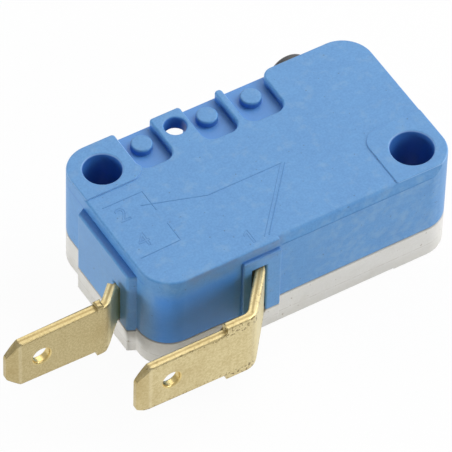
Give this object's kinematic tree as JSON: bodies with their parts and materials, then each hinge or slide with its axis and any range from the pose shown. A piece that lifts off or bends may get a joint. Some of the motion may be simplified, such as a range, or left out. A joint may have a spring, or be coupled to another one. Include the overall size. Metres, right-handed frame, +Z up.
{
  "type": "micro switch",
  "caption": "Snap-action micro switch: rounded split housing with diagonal mounting holes, pin plunger, lever seats and flat tab terminals for common and normally open contacts.",
  "frame": {"origin": "on the axis of mounting hole A, in the plane of the cover's raised pads that the switch lies on", "axes": "+X along the body away from the tabs, +Y towards the plunger, +Z up out of the case's flat face"},
  "size_m": [0.0396, 0.0235, 0.0101],
  "materials": {
    "case_plastic": "satin sky blue",
    "cover_plastic": "satin pale grey",
    "plunger_plastic": "satin dark grey",
    "lever_nylon": "natural nylon",
    "arm_bronze": "rolled bronze",
    "contact_silver": "silver alloy",
    "spring_steel": "drawn wire",
    "terminal_brass": "stamped brass"
  },
  "bodies": {
    "housing": {"case": "case_plastic", "cover": "cover_plastic", "common_terminal": "terminal_brass", "open_terminal": "terminal_brass", "fixed_contact": "contact_silver"},
    "plunger_body": {"plunger": "plunger_plastic"},
    "lever_body": {"operating_lever": "lever_nylon"},
    "arm_body": {"contact_arm": "arm_bronze", "moving_contact": "contact_silver", "snap_spring": "spring_steel"}
  },
  "joints": [
    {"name": "plunger_slide", "type": "slide", "parent": "housing", "child": "plunger_body", "axis": [0, -1, 0], "range_m": [0, 0.0022], "stiffness_N_per_m": 640, "springref_m": -0.00125},
    {"name": "lever_rock", "type": "hinge", "parent": "housing", "child": "lever_body", "pos_m": [0.0099, -0.00195, 0.00507], "axis": [0, 0, -1], "range_deg": [0, 12], "deforming": ["snap_spring"]},
    {"name": "arm_snap", "type": "hinge", "parent": "housing", "child": "arm_body", "pos_m": [0.01385, -0.00515, 0.00507], "axis": [0, 0, 1], "range_deg": [0, 4.3]}
  ],
  "couplings": [
    {"joint": "lever_rock", "follows": "plunger_slide", "rad_per_m": 93.46},
    {"joint": "arm_snap", "follows": "plunger_slide", "rad_per_m": 33.8}
  ]
}
